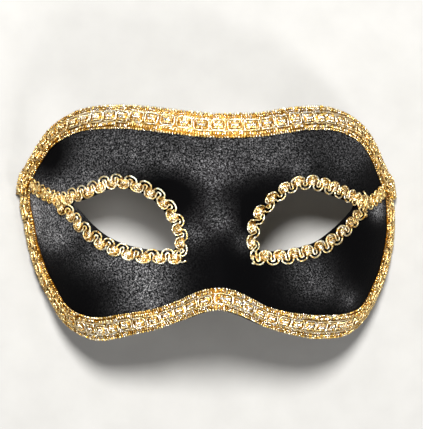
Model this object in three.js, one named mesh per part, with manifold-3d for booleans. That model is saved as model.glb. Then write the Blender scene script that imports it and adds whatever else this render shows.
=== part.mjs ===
import * as THREE from 'three';
import Module from 'manifold-3d';

// Velvet half mask for the eyes, lying face up. Millimetres, +Z up.
// The face of the mask looks up (+Z), its top edge is at +Y and the
// wearer's left side is at +X. It stands on the two rims at the temples.
// A shell of papier-mache carries a velvet skin. Gold braid borders the
// edge in two strips, and narrower gold gimp borders each eye in two strips.

// Form that the mask was moulded on, measured at the velvet's outer face.
// RISE is the height of the centre line over the rims at the temples.
const RISE = 60;

// Half widths of the form at rim height: y, towards -X, towards +X.
// The hand-made shell is a little wider on one cheek than on the other.
const SECTIONS = [
  [-56, 63.5, 69.5],
  [-42, 71.2, 78.3],
  [-28, 76.4, 83.2],
  [-14, 80.0, 85.6],
  [0, 82.9, 86.6],
  [14, 85.2, 86.4],
  [28, 83.9, 84.8],
  [42, 79.4, 80.4],
  [56, 71.0, 72.0],
];

// The nose ridge grows from between the brows down to the lower edge.
const NOSE = { height: 14, from: 26, to: -42, narrow: 8.5, wide: 14 };

// Soft swells and hollows: height, centre x, radius x, centre y, radius y.
const EYE_SOCKET = [-5.0, 30, 17, 6, 14];
const BROW = [1.8, 32, 24, 31, 9];
const CHEEK = [2.5, 44, 20, -27, 14];

// The forehead and the cheeks roll back towards the edges.
const FOREHEAD_ROLL = { drop: 3.5, from: 18, over: 34 };
const CHEEK_ROLL = { drop: 1.2, from: -20, over: 32 };

// Outer edge of each half: girth from the centre line over the form, y.
const EDGE_RIGHT = [
  [0, 47.4], [17.5, 47.9], [29, 49.8], [42, 51.4], [56, 51.4], [67, 49.5],
  [77, 46.2], [86, 40.8], [94, 33], [101, 25.5], [107.5, 19.5], [110, 13],
  [110.8, 5], [111.1, -3], [110.4, -9], [108.3, -15.5], [104.5, -24],
  [99, -32], [91.5, -41], [82.5, -47], [70, -50.4], [57.5, -51.3],
  [45, -50.8], [33, -48.6], [21, -45.2], [12.5, -41.3], [6, -38.9], [0, -37.8],
];
const EDGE_LEFT = [
  [0, 47.4], [14, 48.3], [31, 50.4], [44, 51.2], [56, 50.8], [66, 49.6],
  [77, 46.2], [88, 40.4], [98, 31], [105, 23.5], [109.2, 15], [108.9, 7],
  [107.3, 0], [106.2, -9], [104, -16.5], [99.5, -25.5], [92, -35], [84, -43],
  [74, -48.4], [62, -51.6], [50, -51.7], [38, -49.6], [26, -46.8],
  [15, -42.6], [6.5, -38.9], [0, -37.8],
];

// Eye holes, from the outer corner over the brow side to the nose side.
const EYE_RIGHT = [
  [73.2, 8.1], [66, 10.2], [57.5, 12.3], [49.5, 14.2], [42, 15.6], [36, 14.1],
  [30.5, 10.4], [25, 5.1], [21, 0.1], [18.9, -5], [18.3, -9], [19.6, -11.5],
  [25, -12], [33, -11.3], [41, -9.8], [48.5, -7.7], [55, -4.5], [62, -0.4],
  [68.5, 4],
];
const EYE_LEFT = [
  [70.2, 7.6], [62.5, 9.6], [55.5, 11.9], [49.5, 14.1], [43.5, 14.8],
  [37, 13.2], [31, 10.8], [25.5, 6.7], [21.5, 1.5], [19, -4.2], [18.2, -9],
  [19.5, -11.9], [25, -12], [33, -11.1], [41, -9.5], [48, -7.3], [54, -4.3],
  [60.5, 0.1], [66, 4.7],
];
const EYE_CENTRE = [44, 1];

// Layers of the wall, inwards from the velvet's outer face.
const VELVET_THICKNESS = 0.8;
const LAYER_GAP = 0.3;
const SHELL_THICKNESS = 1.8;
const VELVET_SETBACK = 0.4;
const FOOT_REACH = 1.9;
const FOOT_LEVEL = 0.7;

// Grid of the wall in each half.
const EDGE_STEPS = 40;
const CENTRE_STEPS = 12;
const NOSE_CROWDING = 1.25;
const RINGS = [0, 0.16, 0.34, 0.54, 0.76, 1];

// Border braid: profile as distance from the outer edge and height.
const BRAID_GAP = 0.45;
const BORDER_STEP = 3.75;
const BORDER_PROFILE = [[0, 0.75], [1.8, 1.2], [5.3, 1.9], [8.8, 1.2], [10.6, 0.75]];
const BORDER_UNDER = [10.6, 8.8, 5.3, 1.8, 0];
const BORDER_LINK_DIP = 0.35;
// The braid is drawn narrower where it bends up beside the nose.
const NOSE_SQUEEZE = { share: 0.15, girth: 19, over: 15 };
const LAP_TOP_Y = { left: 21, right: 20.5 };
const LAP_LENGTH = 9;
const LAP_RAMP = 5;
const LAP_LIFT = 1.35;
const LAP_PRESSED = 0.5;

// Eye gimp: a meandering cord, so its edges are scalloped.
const GIMP_STEP = 3.2;
const GIMP_PROFILE = [[-3.4, 0.5], [-2.1, 1.2], [0, 0.85], [2.1, 1.2], [3.4, 0.5]];
const GIMP_UNDER = [3.4, 0, -3.4];
const GIMP_SCALLOP = 0.6;
const GIMP_LAP = 5;
const GIMP_LIFT = 1.6;

// Middle lines of the gimp strips: girth, y.
const GIMP_PATHS = {
  eye_braid_left_upper: { side: -1, lap: false, points: [
    [95.6, 15.8], [90.5, 14], [84.7, 12.1], [79, 10.4], [74, 9.9], [68.5, 11.6],
    [63, 12.8], [56.6, 14.9], [50.8, 17.1], [46.8, 17.9], [43, 18], [39.1, 17.2],
    [35.4, 16], [31.6, 14.6], [27.9, 12.6], [24.2, 10], [21.5, 7.1], [19.3, 4.2],
    [17.5, 1.1], [16.3, -2], [15.4, -5.5], [15, -8.6], [15, -11.3],
  ] },
  eye_braid_left_lower: { side: -1, lap: true, points: [
    [12.9, -15.3], [17.5, -15.4], [24.4, -15.3], [31.7, -14.6], [39.1, -13.2],
    [43, -12.3], [46.9, -11.2], [50.9, -9.5], [55, -7.4], [59.3, -4.8],
    [63.7, -1.6], [68.2, 2.3], [73.4, 6.8],
  ] },
  eye_braid_right_upper: { side: 1, lap: false, points: [
    [94.9, 14.2], [91, 12.8], [87, 11.2], [81.5, 9.6], [76.6, 10.4],
    [70.4, 12.5], [63.1, 14.4], [53.5, 16.7], [48.8, 18.1], [44.7, 18.8],
    [40.6, 18.7], [36.6, 17.8], [32.7, 16], [28.9, 13.3], [25.1, 10], [21.7, 6.2],
    [18.9, 2.7], [17, -0.5], [15.8, -3.6], [15.2, -6.2], [15, -8.6], [15, -11.1],
  ] },
  eye_braid_right_lower: { side: 1, lap: true, points: [
    [12.9, -15.1], [17, -15.1], [21.1, -15.2], [28.7, -15], [32.6, -14.7],
    [36.5, -14], [40.6, -13.2], [44.8, -12.3], [49.1, -11], [53.6, -9.1],
    [58.3, -6.3], [63.3, -3.4], [68.5, -0.2], [72.6, 3.3], [76.6, 7],
  ] },
};

const MATERIALS = {
  base: new THREE.MeshStandardMaterial({ color: 0xb9a88c, roughness: 0.9, metalness: 0 }),
  velvet: new THREE.MeshStandardMaterial({ color: 0x0d0c0d, roughness: 0.85, metalness: 0 }),
  gold: new THREE.MeshStandardMaterial({ color: 0xc98f3a, roughness: 0.45, metalness: 0.7 }),
};

// Smooth curve through the rows of SECTIONS, for one column.
function sectionHalfWidth(column, y) {
  const last = SECTIONS.length - 1;
  const clamped = Math.min(Math.max(y, SECTIONS[0][0]), SECTIONS[last][0]);
  let row = 0;
  while (row < last - 1 && clamped > SECTIONS[row + 1][0]) row += 1;
  const slope = (i) => {
    const a = Math.max(i - 1, 0);
    const b = Math.min(i + 1, last);
    return (SECTIONS[b][column] - SECTIONS[a][column]) / (SECTIONS[b][0] - SECTIONS[a][0]);
  };
  const h = SECTIONS[row + 1][0] - SECTIONS[row][0];
  const t = (clamped - SECTIONS[row][0]) / h;
  const t2 = t * t;
  const t3 = t2 * t;
  return SECTIONS[row][column] * (2 * t3 - 3 * t2 + 1)
    + slope(row) * h * (t3 - 2 * t2 + t)
    + SECTIONS[row + 1][column] * (3 * t2 - 2 * t3)
    + slope(row + 1) * h * (t3 - t2);
}

const bell = (t) => Math.exp(-t * t);

function smoothStep(from, to, value) {
  const t = THREE.MathUtils.clamp((value - from) / (to - from), 0, 1);
  return t * t * (3 - 2 * t);
}

// Height of the modelled features over the plain bent form.
function relief(x, y) {
  const side = Math.abs(x);
  const grow = smoothStep(NOSE.from, NOSE.to, y);
  const noseRadius = NOSE.narrow + (NOSE.wide - NOSE.narrow) * grow;
  let z = NOSE.height * grow * bell(side / noseRadius);
  for (const [height, cx, rx, cy, ry] of [EYE_SOCKET, BROW, CHEEK]) {
    z += height * bell((side - cx) / rx) * bell((y - cy) / ry);
  }
  const brow = Math.max(0, y - FOREHEAD_ROLL.from) / FOREHEAD_ROLL.over;
  const cheek = Math.max(0, CHEEK_ROLL.from - y) / CHEEK_ROLL.over;
  return z - FOREHEAD_ROLL.drop * brow * brow - CHEEK_ROLL.drop * cheek * cheek;
}

// Point of the velvet's outer face at a girth (negative towards -X) and a y.
function facePoint(girth, y) {
  const halfWidth = sectionHalfWidth(girth < 0 ? 1 : 2, y);
  const radius = (RISE * RISE + halfWidth * halfWidth) / (2 * RISE);
  const angle = girth / radius;
  const x = radius * Math.sin(angle);
  return new THREE.Vector3(x, y, RISE - radius * (1 - Math.cos(angle)) + relief(x, y));
}

const PROBE = 0.2;

function faceSlopes(girth, y) {
  const along = facePoint(girth + PROBE, y).sub(facePoint(girth - PROBE, y));
  const up = facePoint(girth, y + PROBE).sub(facePoint(girth, y - PROBE));
  return [along.divideScalar(2 * PROBE), up.divideScalar(2 * PROBE)];
}

function faceNormal(girth, y) {
  const [along, up] = faceSlopes(girth, y);
  return along.cross(up).normalize();
}

// Walks over the face from one place in a direction, for a true distance.
function walk(start, direction, distance) {
  const steps = Math.max(1, Math.ceil(Math.abs(distance) / 1.5));
  const step = distance / steps;
  let [girth, y] = start;
  const heading = direction.clone();
  for (let i = 0; i < steps; i += 1) {
    const [along, up] = faceSlopes(girth, y);
    const normal = along.clone().cross(up).normalize();
    heading.addScaledVector(normal, -heading.dot(normal)).normalize();
    const aa = along.dot(along);
    const au = along.dot(up);
    const uu = up.dot(up);
    const ha = heading.dot(along) * step;
    const hu = heading.dot(up) * step;
    const det = aa * uu - au * au;
    girth += (ha * uu - hu * au) / det;
    y += (hu * aa - ha * au) / det;
  }
  return [girth, y];
}

const sided = (points, side) => points.map(([girth, y]) => [girth * side, y]);

// Spaced places on a smooth open or closed curve through the points. A
// crowding over 1 draws them together towards the curve's last point.
function evenPlaces(points, count, closed, crowding = 1) {
  const knots = points.map(([girth, y]) => new THREE.Vector3(girth, y, 0));
  const curve = new THREE.CatmullRomCurve3(knots, closed, 'centripetal');
  curve.arcLengthDivisions = 600;
  const places = [];
  for (let i = 0; i <= count; i += 1) {
    const p = curve.getPointAt(1 - (1 - i / count) ** crowding);
    places.push([p.x, p.y]);
  }
  return places;
}

// Where a ray from the eye's centre crosses the hole's outline.
function crossing(loop, centre, angle) {
  for (let i = 0; i < loop.length; i += 1) {
    const a = loop[i];
    const b = loop[(i + 1) % loop.length];
    const turnA = Math.atan2(a[1] - centre[1], a[0] - centre[0]) - angle;
    const turnB = Math.atan2(b[1] - centre[1], b[0] - centre[0]) - angle;
    const offA = Math.atan2(Math.sin(turnA), Math.cos(turnA));
    const offB = Math.atan2(Math.sin(turnB), Math.cos(turnB));
    if (offA * offB <= 0 && Math.abs(offA - offB) < 1) {
      const t = offA === offB ? 0 : offA / (offA - offB);
      return [a[0] + (b[0] - a[0]) * t, a[1] + (b[1] - a[1]) * t];
    }
  }
  throw new Error('the eye hole is not seen from its centre');
}

// Closed loop round one half: along the edge, then back up the centre line.
function halfLoop(edge, side) {
  const places = evenPlaces(edge, EDGE_STEPS, false, NOSE_CROWDING);
  const loop = places.map(([girth, y]) => velvetEdge(girth, y, side));
  loop[0][0] = 0;
  loop[EDGE_STEPS][0] = 0;
  const top = loop[0][1];
  const bottom = loop[EDGE_STEPS][1];
  for (let i = 1; i < CENTRE_STEPS; i += 1) {
    loop.push([0, bottom + (top - bottom) * (i / CENTRE_STEPS)]);
  }
  return loop;
}

// One layer of the wall: both halves, with an eye hole in each.
function wallGeometry(outer, inner, reach) {
  const positions = [];
  const index = [];
  const known = new Map();
  const vertex = (place, depth) => {
    const p = facePoint(...place).addScaledVector(faceNormal(...place), -depth);
    const key = p.toArray().map((v) => Math.round(v * 1e4)).join();
    if (!known.has(key)) {
      known.set(key, positions.length / 3);
      positions.push(p.x, p.y, p.z);
    }
    return known.get(key);
  };
  const quad = (a, b, c, d) => index.push(a, b, c, a, c, d);
  for (const [edge, hole, side] of [[EDGE_LEFT, EYE_LEFT, -1], [EDGE_RIGHT, EYE_RIGHT, 1]]) {
    const rim = halfLoop(edge, side);
    const centre = [EYE_CENTRE[0] * side, EYE_CENTRE[1]];
    const eye = evenPlaces(sided(hole, side), 400, true).slice(0, 400);
    const eyeRim = rim.map(([g, y]) => {
      const angle = Math.atan2(y - centre[1], g - centre[0]);
      return crossing(eye, centre, angle);
    });
    const grid = RINGS.map((t) => rim.map(([g, y], i) => [
      eyeRim[i][0] + (g - eyeRim[i][0]) * t,
      eyeRim[i][1] + (y - eyeRim[i][1]) * t,
    ]));
    grid[RINGS.length - 1] = rim.map((place) => footEdge(place, side, reach));
    const face = grid.map((ring) => ring.map((place) => vertex(place, outer)));
    const back = grid.map((ring) => ring.map((place) => vertex(place, inner)));
    const flip = side > 0;
    const wall = (a, b, c, d) => (flip ? quad(d, c, b, a) : quad(a, b, c, d));
    const n = rim.length;
    const last = RINGS.length - 1;
    for (let i = 0; i < n; i += 1) {
      const j = (i + 1) % n;
      for (let r = 0; r < last; r += 1) {
        wall(face[r][j], face[r][i], face[r + 1][i], face[r + 1][j]);
        wall(back[r][j], back[r + 1][j], back[r + 1][i], back[r][i]);
      }
      wall(face[0][i], face[0][j], back[0][j], back[0][i]);
      if (i < EDGE_STEPS) {
        wall(face[last][j], face[last][i], back[last][i], back[last][j]);
      }
    }
  }
  return meshGeometry(positions, index);
}

function meshGeometry(positions, index) {
  const geometry = new THREE.BufferGeometry();
  geometry.setAttribute('position', new THREE.Float32BufferAttribute(positions, 3));
  geometry.setIndex(index);
  geometry.computeVertexNormals();
  return geometry;
}

// The velvet stops a little short of the braid's outer edge.
function velvetEdge(girth, y, side) {
  const centre = [EYE_CENTRE[0], EYE_CENTRE[1]];
  const dx = Math.abs(girth) - centre[0];
  const dy = y - centre[1];
  const length = Math.hypot(dx, dy);
  const back = VELVET_SETBACK / length;
  const girthBack = side * (Math.abs(girth) - dx * back * smoothStep(2, 12, Math.abs(girth)));
  return [girthBack, y - dy * back];
}

// The shell reaches on down to the table at the temples.
function footEdge([girth, y], side, reach) {
  const low = 1 - smoothStep(2.4, 4.6, facePoint(girth, y).z);
  return [girth + side * reach * low, y];
}

// A strip of braid laid on the face: stations along it, a profile across it.
function stripGeometry(path, count, inwardSign, station, under) {
  const places = evenPlaces(path, count, false);
  const points = places.map((place) => facePoint(...place));
  const positions = [];
  const index = [];
  let loopSize = 0;
  places.forEach((place, i) => {
    const before = points[Math.max(i - 1, 0)];
    const after = points[Math.min(i + 1, count)];
    const tangent = after.clone().sub(before).normalize();
    const across = faceNormal(...place).cross(tangent).normalize().multiplyScalar(inwardSign);
    const { profile, lift, width = 1 } = station(i, points, place);
    const add = (offset, height) => {
      const spot = walk(place, across, offset * width);
      const p = facePoint(...spot).addScaledVector(faceNormal(...spot), height);
      positions.push(p.x, p.y, p.z);
    };
    for (const [offset, height] of profile) add(offset, BRAID_GAP + lift + height);
    for (const offset of under) add(offset, BRAID_GAP + lift);
    loopSize = profile.length + under.length;
  });
  const turn = inwardSign > 0;
  const tri = (a, b, c) => (turn ? index.push(a, c, b) : index.push(a, b, c));
  for (let i = 0; i < count; i += 1) {
    for (let k = 0; k < loopSize; k += 1) {
      const a = i * loopSize + k;
      const b = i * loopSize + ((k + 1) % loopSize);
      tri(a, b, b + loopSize);
      tri(a, b + loopSize, a + loopSize);
    }
  }
  const cap = (start, reverse) => {
    const top = loopSize - under.length;
    const below = (k) => top + under.length - 1 - Math.round(k * (under.length - 1) / (top - 1));
    for (let k = 0; k < top - 1; k += 1) {
      const corners = [[k, k + 1, below(k + 1)], [k, below(k + 1), below(k)]];
      for (const [a, b, c] of corners.filter((t) => t[1] !== t[2])) {
        if (reverse) tri(start + a, start + b, start + c);
        else tri(start + a, start + c, start + b);
      }
    }
  };
  cap(0, false);
  cap(count * loopSize, true);
  return meshGeometry(positions, index);
}

// Distance walked along the strip from its first and to its last station.
function reachAlong(points, i) {
  let before = 0;
  let after = 0;
  for (let k = 1; k < points.length; k += 1) {
    const part = points[k].distanceTo(points[k - 1]);
    if (k <= i) before += part;
    else after += part;
  }
  return [before, after];
}

// Splits an edge where its y falls to a value on the side of the temple.
function edgeAbove(edge, y) {
  const fine = evenPlaces(edge, 500, false);
  const k = fine.findIndex((p) => p[0] > 60 && p[1] < y);
  return fine.slice(0, k);
}

function edgeBelow(edge, y) {
  const fine = evenPlaces(edge, 500, false);
  const k = fine.findIndex((p) => p[0] > 60 && p[1] < y);
  return fine.slice(k).reverse();
}

const thin = (places) => places.filter((p, i) => i % 10 === 0 || i === places.length - 1);

function borderStation(lapped) {
  return (i, points, place) => {
    const [before, after] = reachAlong(points, i);
    const besideNose = bell((Math.abs(place[0]) - NOSE_SQUEEZE.girth) / NOSE_SQUEEZE.over);
    const width = lapped ? 1 : 1 - NOSE_SQUEEZE.share * besideNose;
    const nearEnd = 1 - smoothStep(LAP_LENGTH, LAP_LENGTH + LAP_RAMP, Math.min(before, after));
    const lift = lapped ? LAP_LIFT * nearEnd : 0;
    const squash = lapped ? 1 : 1 - (1 - LAP_PRESSED) * nearEnd;
    const dip = i % 2 === 0 ? BORDER_LINK_DIP : 0;
    const profile = BORDER_PROFILE.map(([offset, height], k) => [
      offset, (height - (k === 2 ? dip : 0)) * squash,
    ]);
    return { profile, lift, width };
  };
}

function gimpStation(lap) {
  return (i, points) => {
    const after = reachAlong(points, i)[1];
    const lift = lap ? GIMP_LIFT * (1 - smoothStep(GIMP_LAP, GIMP_LAP + 4, after)) : 0;
    const narrowEdge = i % 2 === 0 ? 0 : GIMP_PROFILE.length - 1;
    const profile = GIMP_PROFILE.map(([offset, height], k) => [
      offset - (k === narrowEdge ? Math.sign(offset) * GIMP_SCALLOP : 0), height,
    ]);
    return { profile, lift };
  };
}

function borderPath(part, yLeft, yRight) {
  const left = thin(part(EDGE_LEFT, yLeft)).map(([g, y]) => [-g, y]);
  const right = thin(part(EDGE_RIGHT, yRight));
  return [...left.slice(1).reverse(), ...right];
}

function pathLength(path) {
  const points = evenPlaces(path, 300, false).map((place) => facePoint(...place));
  return reachAlong(points, 0)[1];
}

const evenCount = (length, step) => 2 * Math.round(length / step / 2);

// Cuts the shell level with the table, so that it stands on flat rims.
const wasm = await Module();
wasm.setup();

function toSolid(geometry) {
  const vertProperties = new Float32Array(geometry.attributes.position.array);
  const triVerts = new Uint32Array(geometry.index.array);
  const mesh = new wasm.Mesh({ numProp: 3, vertProperties, triVerts });
  mesh.merge();
  return new wasm.Manifold(mesh);
}

function cutLevel(geometry) {
  const below = new THREE.BoxGeometry(300, 300, 20).translate(0, 0, FOOT_LEVEL - 10).toNonIndexed();
  below.setIndex([...Array(below.attributes.position.count).keys()]);
  const mesh = toSolid(geometry).subtract(toSolid(below)).getMesh();
  return meshGeometry([...mesh.vertProperties], [...mesh.triVerts]);
}

const group = new THREE.Group();

function addPiece(name, geometry, material) {
  const mesh = new THREE.Mesh(geometry, material);
  mesh.name = name;
  group.add(mesh);
}

const shellOuter = VELVET_THICKNESS + LAYER_GAP;
const shell = wallGeometry(shellOuter, shellOuter + SHELL_THICKNESS, FOOT_REACH);
addPiece('mask_base', cutLevel(shell), MATERIALS.base);
addPiece('velvet_cover', wallGeometry(0, VELVET_THICKNESS, 0), MATERIALS.velvet);

const lapEnd = { left: LAP_TOP_Y.left - LAP_LENGTH, right: LAP_TOP_Y.right - LAP_LENGTH };
const upperPath = borderPath(edgeAbove, lapEnd.left, lapEnd.right);
const lowerPath = borderPath(edgeBelow, LAP_TOP_Y.left, LAP_TOP_Y.right);
const upperCount = evenCount(pathLength(upperPath), BORDER_STEP);
const lowerCount = evenCount(pathLength(lowerPath), BORDER_STEP);
const upperBraid = stripGeometry(upperPath, upperCount, -1, borderStation(true), BORDER_UNDER);
const lowerBraid = stripGeometry(lowerPath, lowerCount, 1, borderStation(false), BORDER_UNDER);
addPiece('border_braid_upper', upperBraid, MATERIALS.gold);
addPiece('border_braid_lower', lowerBraid, MATERIALS.gold);

for (const [name, { side, lap, points }] of Object.entries(GIMP_PATHS)) {
  const path = sided(points, side);
  const count = evenCount(pathLength(path), GIMP_STEP);
  addPiece(name, stripGeometry(path, count, 1, gimpStation(lap), GIMP_UNDER), MATERIALS.gold);
}

// The origin is the middle of the outline on the table.
const box = new THREE.Box3().setFromObject(group);
const middle = box.getCenter(new THREE.Vector3());
group.position.set(-middle.x, -middle.y, -box.min.z);

export default group;
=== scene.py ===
# %% [markdown]
# # A velvet eye mask with gold braid
# A half mask for a ball is a stiff paper shell, moulded over a carved form, that covers
# the brow, the cheeks and the nose. A cover of black velvet is glued over it, and its cut
# edges are turned in behind. Gold braid runs round the edge and a narrower gold gimp runs
# round each eye hole. Here it lies face up, and we look down on it.
#
# The plain solids of the mask are the frame that we work around. They come in first.

# %% Load the frame
import math

import bmesh
import bpy
import numpy as np
from mathutils import Matrix, Vector


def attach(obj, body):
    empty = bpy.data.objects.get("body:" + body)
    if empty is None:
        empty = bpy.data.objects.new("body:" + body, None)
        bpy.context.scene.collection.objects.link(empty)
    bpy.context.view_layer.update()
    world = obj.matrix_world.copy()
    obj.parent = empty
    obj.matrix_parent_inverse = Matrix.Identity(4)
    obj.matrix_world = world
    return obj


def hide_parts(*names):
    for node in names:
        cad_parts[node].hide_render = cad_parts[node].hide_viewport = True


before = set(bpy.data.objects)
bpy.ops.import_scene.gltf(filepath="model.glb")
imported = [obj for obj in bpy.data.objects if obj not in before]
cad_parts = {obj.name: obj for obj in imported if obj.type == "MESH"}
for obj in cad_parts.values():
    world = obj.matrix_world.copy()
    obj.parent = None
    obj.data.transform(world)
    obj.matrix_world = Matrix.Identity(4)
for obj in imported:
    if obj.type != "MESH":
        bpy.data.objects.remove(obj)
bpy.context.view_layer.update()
print("plain solids:", sorted(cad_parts))

# %% [markdown]
# ## The form
# The real mask was pressed over a carved form, so its velvet follows one smooth surface.
# Rather than sculpt it, we write that surface as a rule. A place on it is given by its
# girth, measured round the form from the middle of the nose, and by its height y up the
# face. Each section is an arc, and the nose, brows and cheeks are soft swells on it.
# Everything below, velvet, shell and braid, is laid on this one rule, so it all fits.
# We work in millimetres and turn them into Blender's metres at the very end.

# %% Sections and swells of the form
MM = 0.001
FORM_TO_FRAME = np.array([-0.6571, 0.1244, -0.7])
RISE = 60.0

# y, half width towards -X and half width towards +X, at the height of the table
SECTIONS = np.array([
    (-56, 63.5, 69.5), (-42, 71.2, 78.3), (-28, 76.4, 83.2), (-14, 80.0, 85.6), (0, 82.9, 86.6),
    (14, 85.2, 86.4), (28, 83.9, 84.8), (42, 79.4, 80.4), (56, 71.0, 72.0),
])

NOSE = {"height": 14.0, "starts": 26.0, "full": -42.0, "narrow": 8.5, "wide": 14.0}

# height, centre x, radius x, centre y, radius y
SWELLS = {
    "eye socket": (-5.0, 30, 17, 6, 14),
    "brow": (1.8, 32, 24, 31, 9),
    "cheek": (2.5, 44, 20, -27, 14),
}
FOREHEAD_ROLL = {"drop": 3.5, "starts": 18.0, "over": 34.0}
CHEEK_ROLL = {"drop": 1.2, "starts": -20.0, "over": 32.0}

# %% Small curves that the form is written with
def bell(t):
    return np.exp(-t * t)


def smooth_step(start, end, value):
    t = np.clip((value - start) / (end - start), 0, 1)
    return t * t * (3 - 2 * t)


def smooth_table(xs, ys, x):
    """A smooth curve through a few rows of a table."""
    slope = np.empty_like(ys)
    slope[1:-1] = (ys[2:] - ys[:-2]) / (xs[2:] - xs[:-2])
    slope[0] = (ys[1] - ys[0]) / (xs[1] - xs[0])
    slope[-1] = (ys[-1] - ys[-2]) / (xs[-1] - xs[-2])
    x = np.clip(x, xs[0], xs[-1])
    row = np.clip(np.searchsorted(xs, x, side="right") - 1, 0, len(xs) - 2)
    h = xs[row + 1] - xs[row]
    t = (x - xs[row]) / h
    t2, t3 = t * t, t * t * t
    return (ys[row] * (2 * t3 - 3 * t2 + 1) + slope[row] * h * (t3 - 2 * t2 + t)
            + ys[row + 1] * (3 * t2 - 2 * t3) + slope[row + 1] * h * (t3 - t2))

# %% The rule: from a place on the face to a point
def face_relief(x, y):
    """How far nose, sockets, brows and cheeks swell out of the plain arc, in mm."""
    side = np.abs(x)
    grown = smooth_step(NOSE["starts"], NOSE["full"], y)
    z = NOSE["height"] * grown * bell(side / (NOSE["narrow"] + (NOSE["wide"] - NOSE["narrow"]) * grown))
    for height, cx, rx, cy, ry in SWELLS.values():
        z = z + height * bell((side - cx) / rx) * bell((y - cy) / ry)
    brow = np.maximum(0, y - FOREHEAD_ROLL["starts"]) / FOREHEAD_ROLL["over"]
    cheek = np.maximum(0, CHEEK_ROLL["starts"] - y) / CHEEK_ROLL["over"]
    return z - FOREHEAD_ROLL["drop"] * brow ** 2 - CHEEK_ROLL["drop"] * cheek ** 2


def section_radius(side, y):
    """The radius of the form's arc at a height, on the side that the sign tells."""
    ys, left, right = SECTIONS.T
    half_width = np.where(side < 0, smooth_table(ys, left, y), smooth_table(ys, right, y))
    return (RISE ** 2 + half_width ** 2) / (2 * RISE)


def face_point(girth, y):
    """The point of the form at a girth and a height, in mm."""
    girth, y = np.asarray(girth, float), np.asarray(y, float)
    radius = section_radius(girth, y)
    x = radius * np.sin(girth / radius)
    z = RISE - radius * (1 - np.cos(girth / radius)) + face_relief(x, y)
    return np.stack([x, y + 0 * x, z], -1)


for name, place in {"top": (0, 47.4), "nose tip": (0, -37.8), "temple": (110, 5)}.items():
    print(name, "of the form, mm:", face_point(*place).round(1))

# %% Walking over the form
PROBE = 0.2
WALK_STEP = 0.8


def unit(v):
    return v / np.linalg.norm(v, axis=-1, keepdims=True)


def face_slopes(girth, y):
    along = (face_point(girth + PROBE, y) - face_point(girth - PROBE, y)) / (2 * PROBE)
    up = (face_point(girth, y + PROBE) - face_point(girth, y - PROBE)) / (2 * PROBE)
    return along, up


def face_normal(girth, y):
    along, up = face_slopes(girth, y)
    return unit(np.cross(along, up))


def walk(places, heading, distance):
    """Walks from many places at once, in their headings, for a true distance over the form."""
    girth, y = places[..., 0].copy(), places[..., 1].copy()
    heading = heading.copy()
    distance = np.broadcast_to(distance, girth.shape)
    count = max(1, math.ceil(np.abs(distance).max() / WALK_STEP))
    step = distance / count
    for _ in range(count):
        along, up = face_slopes(girth, y)
        normal = unit(np.cross(along, up))
        heading = unit(heading - normal * (heading * normal).sum(-1, keepdims=True))
        aa, au, uu = (along * along).sum(-1), (along * up).sum(-1), (up * up).sum(-1)
        ha, hu = (heading * along).sum(-1) * step, (heading * up).sum(-1) * step
        det = aa * uu - au * au
        girth = girth + (ha * uu - hu * au) / det
        y = y + (hu * aa - ha * au) / det
    return np.stack([girth, y], -1), heading

# %% [markdown]
# ## Camera, floor and light
# The picture looks almost straight down on the mask, from a little to its left. A long
# lens from over a metre away keeps the temples from looking pinched. The floor is plain
# and pale, and the lamps are large and soft: one over the forehead, one at the left temple,
# and a fill. The camera comes first because it shows us early where each piece lands.

# %% Camera
IMAGE_WIDTH = 423
VIEW_TARGET = np.array([0.0, 0.0, 30.0]) + FORM_TO_FRAME
VIEW_YAW, VIEW_ROLL = math.radians(4.8), math.radians(0.4)
VIEW_DISTANCE = 1200.0
MM_PER_PIXEL = 0.4485
PAN_RIGHT, PAN_UP = 0.22, 3.58
SENSOR = 36.0

flat_right = Vector((math.cos(VIEW_YAW), 0, math.sin(VIEW_YAW)))
view_back = Vector((-math.sin(VIEW_YAW), 0, math.cos(VIEW_YAW)))
view_right = flat_right * math.cos(VIEW_ROLL) + Vector((0, 1, 0)) * math.sin(VIEW_ROLL)
view_up = view_back.cross(view_right)

camera_data = bpy.data.cameras.new("camera")
camera_data.sensor_fit = "HORIZONTAL"
camera_data.sensor_width = SENSOR
camera_data.lens = SENSOR * VIEW_DISTANCE / (IMAGE_WIDTH * MM_PER_PIXEL)
camera_data.clip_start, camera_data.clip_end = 0.05, 20
camera = bpy.data.objects.new("camera", camera_data)
spot = Vector(VIEW_TARGET) + view_back * VIEW_DISTANCE + view_right * PAN_RIGHT + view_up * PAN_UP
turn = Matrix((view_right, view_up, view_back)).transposed()
camera.matrix_world = Matrix.Translation(spot * MM) @ turn.to_4x4()
bpy.context.scene.collection.objects.link(camera)
bpy.context.scene.camera = camera
print("lens, mm:", round(camera_data.lens, 1))

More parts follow.
